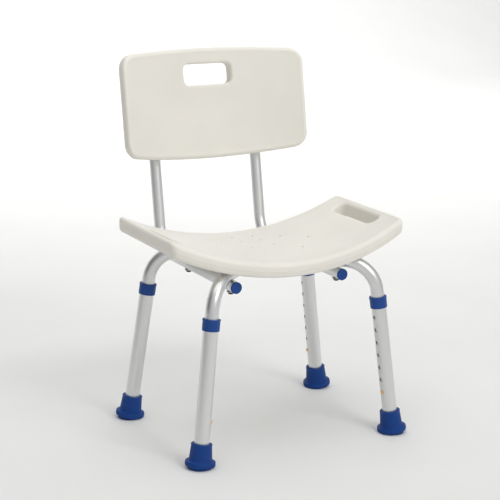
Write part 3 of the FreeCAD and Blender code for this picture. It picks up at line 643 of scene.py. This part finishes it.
def foot_shell(corner):
    """A rubber foot: grooved level sole, rounded brim, and a cone with a rolled rim."""
    soles = [
        (0, 0.0, 0), (6, 0.0, 0), (6.6, 0.8, 0), (8.4, 0.8, 0), (9, 0.0, 0),
        (14, 0.0, 0), (14.6, 0.8, 0), (16.4, 0.8, 0), (17, 0.0, 0), (22.6, 0.0, 0),
    ]
    body = [
        (23.0, 2.6, 0.3), (28.5, 2.9, 2.6), (28.5, 7.6, 0), (28.2, 8.0, 0), (28.5, 8.4, 0),
        (28.4, 12.3, 1.8), (21.9, 13.4, 2.2), (19.5, 42.0, 0), (20.0, 43.0, 0.5),
        (19.8, 45.0, 0.9), (15.3, 45.0, 0.5), (14.36, 43.6, 0.2), (14.36, 7.4, 0), (0, 7.4, 0),
    ]
    profile = filleted(soles) + filleted(soles[-1:] + body)[1:]
    return leg_shell(corner, profile, level=len(soles))


def collar_shell(corner):
    """A collar with a slight lip at its top."""
    corners = [
        (14.34, 256.0, 0), (16.4, 256.0, 0.7), (16.5, 274.2, 0.4), (17.1, 275.0, 0.4),
        (17.1, 278.0, 0.9), (13.08, 278.0, 0.5), (13.08, 270.05, 0), (14.34, 270.05, 0),
    ]
    return leg_shell(corner, filleted(corners))


def button_shell(corner):
    """A domed snap button on its base."""
    upward = -joint_axis["leg_length_" + corner]
    corners = [
        (0, 9.2, 0), (4.6, 9.2, 0.2), (4.6, 10.4, 0.2), (3.5, 10.4, 0.2), (3.5, 16.4, 1.5),
        (1.2, 17.0, 1.0), (0, 17.0, 0),
    ]
    return {"profile": filleted(corners), "origin": sole["sole_" + corner] + upward * BUTTON_S,
            "axis": -joint_axis["button_press_" + corner], "count": 48}


def cap_shell(node_name):
    """A rail's end cap: a head with a dished face on a hollow plug."""
    low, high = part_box(node_name)
    origin = Vector(((low.x + high.x) / 2, low.y, (low.z + high.z) / 2))
    corners = [
        (0, 0.7, 0), (6.6, 0.7, 0.3), (7.4, 0.0, 0.3), (11.35, 0.0, 1.1), (11.35, 3.4, 0.3), (9.85, 3.5, 0),
        (9.85, 17.2, 0.4), (7.9, 17.2, 0.3), (7.9, 4.6, 0.4), (0, 4.6, 0),
    ]
    return {"profile": filleted(corners), "origin": origin, "axis": Vector((0, 1, 0))}


def screw_shell(origin, axis, length, head_radius, head_height, shank_radius, recess):
    """A round-headed screw with a hexagonal recess; its origin is under the head."""
    recess_radius = head_radius * 0.45
    recess_floor = recess - head_height
    corners = [
        (0, recess_floor, 0), (recess_radius, recess_floor, 0), (recess_radius, -head_height, 0),
        (head_radius * 0.72, -head_height, 0.6), (head_radius, -head_height * 0.45, 1.0),
        (head_radius, 0, 0.15), (shank_radius, 0, 0), (shank_radius, length, 0.4), (0, length, 0),
    ]
    return {"profile": filleted(corners), "origin": origin, "axis": axis, "hexagonal": (1, 2)}


def seat_screw_shells():
    """The four screws under the rails, one below each crossing."""
    low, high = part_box("seat_screws")
    inward = SEAT_SCREW["head_radius"] * MM
    shells = []
    for x in (low.x + inward, high.x - inward):
        for y in (low.y + inward, high.y - inward):
            origin = Vector((x, y, low.z + SEAT_SCREW["head_height"] * MM))
            shells.append(screw_shell(origin, UP, (high.z - origin.z) / MM, **SEAT_SCREW))
    return shells


def back_screw_shells():
    """The four screws behind the uprights."""
    forward = leaned(Vector((0, -1, 0))) - leaned(Vector((0, 0, 0)))
    shells = []
    for side in (-1, 1):
        for height in BACK_SCREW_Z:
            origin = leaned(Vector((side * UPRIGHT_X, BACK_SCREW_Y, height)))
            shells.append(screw_shell(origin, forward, BACK_SCREW_LENGTH, **BACK_SCREW))
    return shells


# ---------------------------------------------------------------- materials

def new_material(name):
    """A material, its node tree and its shader."""
    material = bpy.data.materials.new(name)
    material.use_nodes = True
    tree = material.node_tree
    return material, tree, tree.nodes["Principled BSDF"]


def node(tree, kind, **values):
    """Add a shader node and set its inputs or properties by name."""
    made = tree.nodes.new(kind)
    for key, value in values.items():
        label = key.replace("_", " ")
        if label in made.inputs:
            made.inputs[label].default_value = value
        else:
            setattr(made, key, value)
    return made


def noise(tree, vector, scale, detail, roughness=0.5):
    """A cloudy pattern from 0 to 1."""
    made = node(tree, "ShaderNodeTexNoise", Scale=scale, Detail=detail, Roughness=roughness)
    tree.links.new(vector, made.inputs["Vector"])
    return made.outputs["Fac"]


def ramp(tree, factor, stops):
    """A colour ramp from (position, colour) stops."""
    made = tree.nodes.new("ShaderNodeValToRGB")
    elements = made.color_ramp.elements
    while len(elements) < len(stops):
        elements.new(0.5)
    for element, (position, colour) in zip(elements, stops):
        element.position = position
        element.color = (*colour, 1)
    tree.links.new(factor, made.inputs["Fac"])
    return made.outputs["Color"]


def mapped(tree, factor, low, high):
    """A factor from 0 to 1 turned into a range."""
    made = node(tree, "ShaderNodeMapRange", To_Min=low, To_Max=high)
    tree.links.new(factor, made.inputs["Value"])
    return made.outputs["Result"]


def bump(tree, height, distance, strength, normal=None):
    """A surface raised by a pattern, over another such surface if one is given."""
    made = node(tree, "ShaderNodeBump", Distance=distance, Strength=strength)
    tree.links.new(height, made.inputs["Height"])
    if normal is not None:
        tree.links.new(normal, made.inputs["Normal"])
    return made.outputs["Normal"]


def object_coordinates(tree):
    """Places in metres in a piece's own frame, which move with it."""
    return tree.nodes.new("ShaderNodeTexCoord").outputs["Object"]


def moulded_plastic(name, light, dark, roughness, grain, grain_depth, gloss=0.4, milky=0.0):
    """Plastic with a fine moulded grain and faint clouding, which may let light through."""
    material, tree, shader = new_material(name)
    place = object_coordinates(tree)
    cloud = noise(tree, place, scale=9, detail=3)
    colour = ramp(tree, cloud, [(0.3, dark), (0.7, light)])
    tree.links.new(colour, shader.inputs["Base Color"])
    rub = noise(tree, place, scale=60, detail=4)
    tree.links.new(mapped(tree, rub, roughness - 0.05, roughness + 0.07), shader.inputs["Roughness"])
    fine = noise(tree, place, scale=grain, detail=3, roughness=0.6)
    waves = noise(tree, place, scale=14, detail=1)
    soft = bump(tree, waves, distance=0.6 * MM, strength=0.25)
    tree.links.new(bump(tree, fine, grain_depth, 0.5, soft), shader.inputs["Normal"])
    shader.inputs["Specular IOR Level"].default_value = gloss
    shader.inputs["Subsurface Weight"].default_value = milky
    shader.inputs["Subsurface Radius"].default_value = (1.0, 0.9, 0.75)
    shader.inputs["Subsurface Scale"].default_value = 12 * MM
    return material


def vector_math(tree, operation, first, second=None, output="Vector"):
    """A vector node whose first two inputs are other nodes' outputs or plain vectors."""
    made = node(tree, "ShaderNodeVectorMath", operation=operation)
    for socket, value in zip(made.inputs, (first, second)):
        if isinstance(value, bpy.types.NodeSocket):
            tree.links.new(value, socket)
        elif value is not None:
            socket.default_value = value
    return made.outputs[output]


def drawn_out(tree, place, axis, share):
    """Coordinates shortened along an axis, so that a noise in them is stretched that way."""
    less = node(tree, "ShaderNodeMath", operation="MULTIPLY")
    tree.links.new(vector_math(tree, "DOT_PRODUCT", place, axis, "Value"), less.inputs[0])
    less.inputs[1].default_value = share - 1
    shift = node(tree, "ShaderNodeVectorMath", operation="SCALE")
    shift.inputs[0].default_value = axis
    tree.links.new(less.outputs["Value"], shift.inputs["Scale"])
    return vector_math(tree, "ADD", place, shift.outputs["Vector"])


def painted_bore_shade(tree, place, colour, foot, axis, radius):
    """A tube's colour with painted shade: near black on the walls of its holes and in its bore, where shade falls.
    """
    across = vector_math(tree, "CROSS_PRODUCT", vector_math(tree, "SUBTRACT", place, foot), axis)
    shade = node(tree, "ShaderNodeMapRange", From_Min=radius - 0.4 * MM, From_Max=radius - 0.1 * MM)
    tree.links.new(vector_math(tree, "LENGTH", across, output="Value"), shade.inputs["Value"])
    # painted shade: near black more than 0.4 mm inside the tube's outer radius, the plain colour at its surface
    level = ramp(tree, shade.outputs["Result"], [(0.0, (0.03, 0.03, 0.03)), (1.0, (1.0, 1.0, 1.0))])
    return vector_math(tree, "MULTIPLY", colour, level)


def metal(name, colour, roughness, grain=900, depth=0.02 * MM, axis=None, foot=None):
    """Satin metal with a fine grain.

    The grain is drawn out along an axis if one is given. For a leg tube, whose foot is
    the point of its axis on the floor, shade is painted into the holes and the bore: their walls are coloured near
    black.
    """
    material, tree, shader = new_material(name)
    plain = object_coordinates(tree)
    place = plain if axis is None else drawn_out(tree, plain, axis, share=0.02)
    cloud = noise(tree, place, scale=25, detail=3)
    dark = tuple(c * 0.93 for c in colour)
    cloud_tone_and_bore_shade = ramp(tree, cloud, [(0.3, dark), (0.7, colour)])
    # painted shade on leg tubes: the walls of the holes and the bore are coloured near black
    if foot is not None:
        cloud_tone_and_bore_shade = painted_bore_shade(tree, plain, cloud_tone_and_bore_shade, foot, axis, LEG_RADIUS)
    tree.links.new(cloud_tone_and_bore_shade, shader.inputs["Base Color"])
    shader.inputs["Metallic"].default_value = 1.0
    fine = noise(tree, place, scale=grain, detail=2)
    tree.links.new(mapped(tree, fine, roughness - 0.04, roughness + 0.06), shader.inputs["Roughness"])
    tree.links.new(bump(tree, fine, depth, strength=0.4), shader.inputs["Normal"])
    return material


def dress(piece, material):
    """Give a piece one material in place of what it has."""
    piece.data.materials.clear()
    piece.data.materials.append(material)


WHITE = moulded_plastic(
    "white_plastic", light=(0.80, 0.78, 0.72), dark=(0.765, 0.745, 0.685), roughness=0.5,
    grain=700, grain_depth=0.25 * MM, milky=0.5,
)
BLUE = moulded_plastic(
    "blue_plastic", light=(0.008, 0.060, 0.270), dark=(0.006, 0.050, 0.235), roughness=0.42,
    grain=900, grain_depth=0.08 * MM, gloss=0.3,
)
RUBBER = moulded_plastic(
    "blue_rubber", light=(0.006, 0.052, 0.250), dark=(0.004, 0.042, 0.205), roughness=0.55,
    grain=700, grain_depth=0.2 * MM, gloss=0.22,
)
SILVER = (0.76, 0.77, 0.765)
ALUMINIUM = metal("satin_aluminium", SILVER, roughness=0.34)
BRASS = metal("button_brass", (0.80, 0.50, 0.20), roughness=0.28)
STEEL = metal("spring_steel", (0.55, 0.55, 0.56), roughness=0.25)
ZINC = metal("plated_steel", (0.45, 0.45, 0.46), roughness=0.35)
DARK = metal("dark_steel", (0.05, 0.05, 0.055), roughness=0.45)

MATERIAL_OF = {
    "white_plastic": WHITE, "blue_plastic": BLUE, "blue_rubber": RUBBER, "aluminium_tube": ALUMINIUM,
    "button_brass": BRASS, "insert_brass": BRASS, "spring_steel": STEEL, "plated_steel": ZINC,
    "dark_steel": DARK,
}
for part in frame["record"]["subparts"]:
    cad_piece = nodes[part["node"]]
    dress(cad_piece, MATERIAL_OF[part["material_slot"]])
    smoothed(cad_piece, CAD_CREASE)

# Leg tubes: drawn aluminium, with shade painted near black into their holes and bore.
for corner in CORNERS:
    drawn = metal(
        "drawn_aluminium_" + corner, SILVER, roughness=0.33, grain=700, depth=0.03 * MM,
        axis=joint_axis["leg_length_" + corner], foot=sole["sole_" + corner],
    )
    dress(nodes["leg_tube_" + corner], drawn)
upright_axis = Vector((0, math.sin(BACK_RAKE), math.cos(BACK_RAKE)))
for side in ("left", "right"):
    drawn = metal(
        "drawn_aluminium_back_" + side, SILVER, roughness=0.4, grain=700, depth=0.03 * MM, axis=upright_axis
    )
    dress(nodes["back_tube_" + side], drawn)


def stand_in(piece, node_name, body, slot):
    """Let a piece show in place of a CAD node, riding on its body."""
    dress(piece, MATERIAL_OF[slot])
    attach(piece, body)
    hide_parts(node_name)


stand_in(seat_panel(), "seat_panel", "frame", "white_plastic")
stand_in(back_panel(), "back_panel", "frame", "white_plastic")
for corner in CORNERS:
    leg = "leg_" + corner
    foot = turned_piece("rubber_foot_" + corner, [foot_shell(corner)])
    stand_in(foot, "foot_" + corner, leg, "blue_rubber")
    collar = turned_piece("collar_ring_" + corner, [collar_shell(corner)])
    stand_in(collar, "leg_collar_" + corner, leg, "blue_plastic")
    button = turned_piece("button_dome_" + corner, [button_shell(corner)])
    stand_in(button, "snap_button_" + corner, "button_" + corner, "button_brass")
for side in ("left", "right"):
    cap = turned_piece("end_cap_" + side, [cap_shell("rail_cap_" + side)])
    stand_in(cap, "rail_cap_" + side, "frame", "blue_plastic")
stand_in(turned_piece("seat_screws_turned", seat_screw_shells()), "seat_screws", "frame", "dark_steel")
stand_in(turned_piece("back_screws_turned", back_screw_shells()), "back_screws", "frame", "dark_steel")


# ---------------------------------------------------------------- floor, light and camera

def stage_mesh():
    """A floor that curves up into a backdrop behind the stool."""
    half_width = 9.0
    front = -7.0
    back = 4.0
    bend = 2.0
    top = 7.0
    steps = 24
    profile = [(front, 0.0), (back, 0.0)]
    for step in range(1, steps + 1):
        angle = math.pi / 2 * step / steps
        profile.append((back + bend * math.sin(angle), bend * (1 - math.cos(angle))))
    profile.append((back + bend, top))
    mesh = bmesh.new()
    rows = [[mesh.verts.new((x, y, z)) for x in (-half_width, half_width)] for y, z in profile]
    for lower, upper in zip(rows, rows[1:]):
        mesh.faces.new((lower[0], lower[1], upper[1], upper[0])).smooth = True
    floor = new_piece("floor", mesh)
    material, tree, shader = new_material("studio_paper")
    grain = noise(tree, object_coordinates(tree), scale=3, detail=4)
    paper = ramp(tree, grain, [(0.3, (0.80, 0.80, 0.79)), (0.7, (0.82, 0.82, 0.81))])
    tree.links.new(paper, shader.inputs["Base Color"])
    shader.inputs["Roughness"].default_value = 0.8
    shader.inputs["Specular IOR Level"].default_value = 0.15
    dress(floor, material)


def area_light(name, place, target, size, power):
    """A soft rectangular lamp turned towards a point."""
    light = bpy.data.lights.new(name, "AREA")
    light.shape = "RECTANGLE"
    light.size, light.size_y = size
    light.energy = power
    lamp = new_object(name, light)
    lamp.location = place
    lamp.rotation_mode = "QUATERNION"
    lamp.rotation_quaternion = (Vector(target) - Vector(place)).to_track_quat("-Z", "Y")


def make_world(dim, bright, bright_side):
    """A pale studio that is darker on one side: its light depends on the direction."""
    world = bpy.data.worlds.new("studio")
    bpy.context.scene.world = world
    world.use_nodes = True
    tree = world.node_tree
    direction = tree.nodes.new("ShaderNodeTexCoord").outputs["Generated"]
    facing = vector_math(tree, "DOT_PRODUCT", direction, Vector(bright_side).normalized(), "Value")
    level = node(tree, "ShaderNodeMapRange", From_Min=-0.8, From_Max=0.7, To_Min=dim, To_Max=bright)
    level.interpolation_type = "SMOOTHSTEP"
    tree.links.new(facing, level.inputs["Value"])
    background = tree.nodes["Background"]
    background.inputs["Color"].default_value = (1, 1, 1, 1)
    tree.links.new(level.outputs["Result"], background.inputs["Strength"])


def make_camera(azimuth, elevation, roll, distance, target, lens_share):
    """A camera aimed at a point; lens_share is its focal length over the width of its sensor."""
    data = bpy.data.cameras.new("camera")
    data.sensor_width = 36.0
    data.lens = lens_share * data.sensor_width
    data.clip_start, data.clip_end = 0.1, 60
    camera = new_object("camera", data)
    bpy.context.scene.camera = camera
    a, e = math.radians(azimuth), math.radians(elevation)
    back = Vector((math.sin(a) * math.cos(e), -math.cos(a) * math.cos(e), math.sin(e)))
    camera.rotation_mode = "QUATERNION"
    camera.location = Vector(target) + back * distance
    turn = (-back).to_track_quat("-Z", "Y")
    camera.rotation_quaternion = turn @ Matrix.Rotation(math.radians(roll), 3, "Z").to_quaternion()


stage_mesh()
make_world(dim=0.02, bright=0.63, bright_side=(0.28, -0.94, 0.2))
area_light("key", place=(0.9, -3.2, 2.8), target=(0, 0, 0.4), size=(1.6, 1.6), power=46)
area_light("top", place=(-0.4, 0.4, 3.8), target=(-0.1, 0.4, 0.0), size=(4.0, 4.0), power=60)
area_light("backdrop", place=(1.6, 2.6, 3.4), target=(2.6, 5.2, 0.2), size=(3.0, 1.5), power=112)
make_camera(
    azimuth=-28.51, elevation=14.03, roll=0.94, distance=3.009,
    target=(0.88 * MM, -3.0 * MM, 342.58 * MM), lens_share=3.0494,
)
bpy.context.scene.view_settings.view_transform = "Standard"
